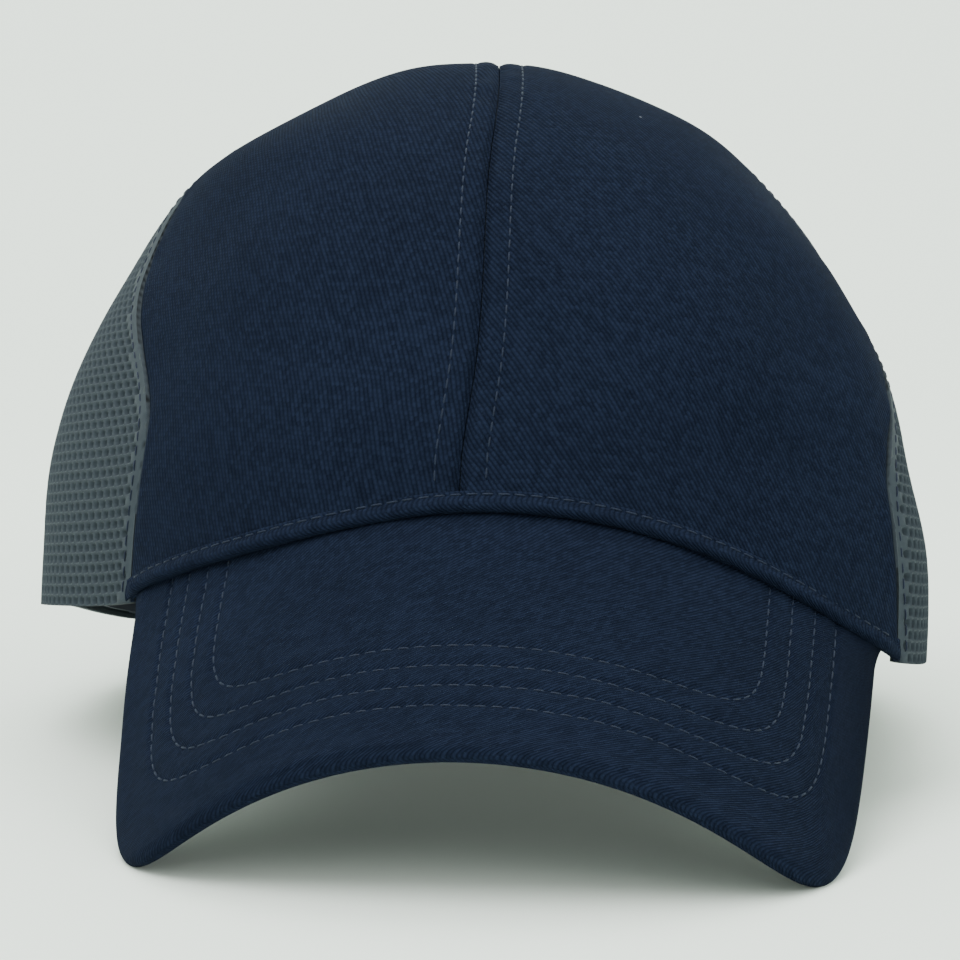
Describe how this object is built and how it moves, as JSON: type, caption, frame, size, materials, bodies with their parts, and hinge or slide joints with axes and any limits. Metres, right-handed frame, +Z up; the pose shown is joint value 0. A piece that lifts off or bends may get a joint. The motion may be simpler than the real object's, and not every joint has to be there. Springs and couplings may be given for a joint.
{
  "type": "bump cap",
  "caption": "Fabric cap with two woven front panels, four mesh panels and a curved bill, over a padded hard insert that lifts out; strap closure at the back.",
  "frame": {"origin": "centre of the bottom of the cap's box, standing on its rear rim and the two corners of its bill", "axes": "+Z up; the front and the bill face -Y; +X is the wearer's left. The crown leans back about 15 degrees"},
  "size_m": [0.194, 0.2618, 0.1492],
  "materials": {
    "twill": "navy blue cotton twill, matt, with diagonal ribs",
    "spacer_mesh": "navy knitted spacer mesh with staggered holes",
    "buckram": "stiff open-weave interlining, dark",
    "cotton_tape": "woven navy tape, matt",
    "terry": "looped towelling, navy",
    "bill_plastic": "pale polyethylene board, hidden",
    "hook_tape": "moulded hook tape, dark",
    "loop_tape": "brushed loop tape, dark",
    "webbing": "navy twill strap with stitched edges",
    "shell_plastic": "moulded black plastic, satin with fine texture",
    "foam": "charcoal closed-cell foam, matt",
    "label_cloth": "blank white satin label"
  },
  "bodies": {
    "insert": {"crown_pad": "foam", "front_pad": "foam", "hard_shell": "shell_plastic", "left_pad": "foam", "rear_pad": "foam", "right_pad": "foam", "shell_hook_squares": "hook_tape"},
    "cap": {"back_panel_left": "spacer_mesh", "back_panel_right": "spacer_mesh", "bill_board": "bill_plastic", "bill_bottom_cover": "twill", "bill_seam_band": "twill", "bill_top_cover": "twill", "care_label": "label_cloth", "crown_loop_squares": "loop_tape", "front_buckram_left": "buckram", "front_buckram_right": "buckram", "front_panel_left": "twill", "front_panel_right": "twill", "hook_strap_sewn_end": "webbing", "loop_strap_sewn_end": "webbing", "rear_opening_binding": "cotton_tape", "seam_tape_back": "cotton_tape", "seam_tape_front": "cotton_tape", "seam_tape_front_left": "cotton_tape", "seam_tape_front_right": "cotton_tape", "seam_tape_rear_left": "cotton_tape", "seam_tape_rear_right": "cotton_tape", "side_panel_left": "spacer_mesh", "side_panel_right": "spacer_mesh", "sweatband": "terry"},
    "hook_strap": {"hook_strap": "webbing", "hook_patch": "hook_tape"},
    "loop_strap": {"loop_strap": "webbing", "loop_patch": "loop_tape"}
  },
  "joints": [
    {"name": "cap_lift", "type": "slide", "parent": "insert", "child": "cap", "axis": [0, 0.277, 0.9609], "range_m": [0, 0.14]},
    {"name": "hook_strap_peel", "type": "hinge", "parent": "cap", "child": "hook_strap", "pos_m": [0.04292, 0.11943, 0.01346], "axis": [0, -0.277, -0.9609], "range_deg": [0, 95]},
    {"name": "loop_strap_swing", "type": "hinge", "parent": "cap", "child": "loop_strap", "pos_m": [-0.04049, 0.11365, 0.01471], "axis": [0, -0.277, -0.9609], "range_deg": [0, 45]}
  ]
}
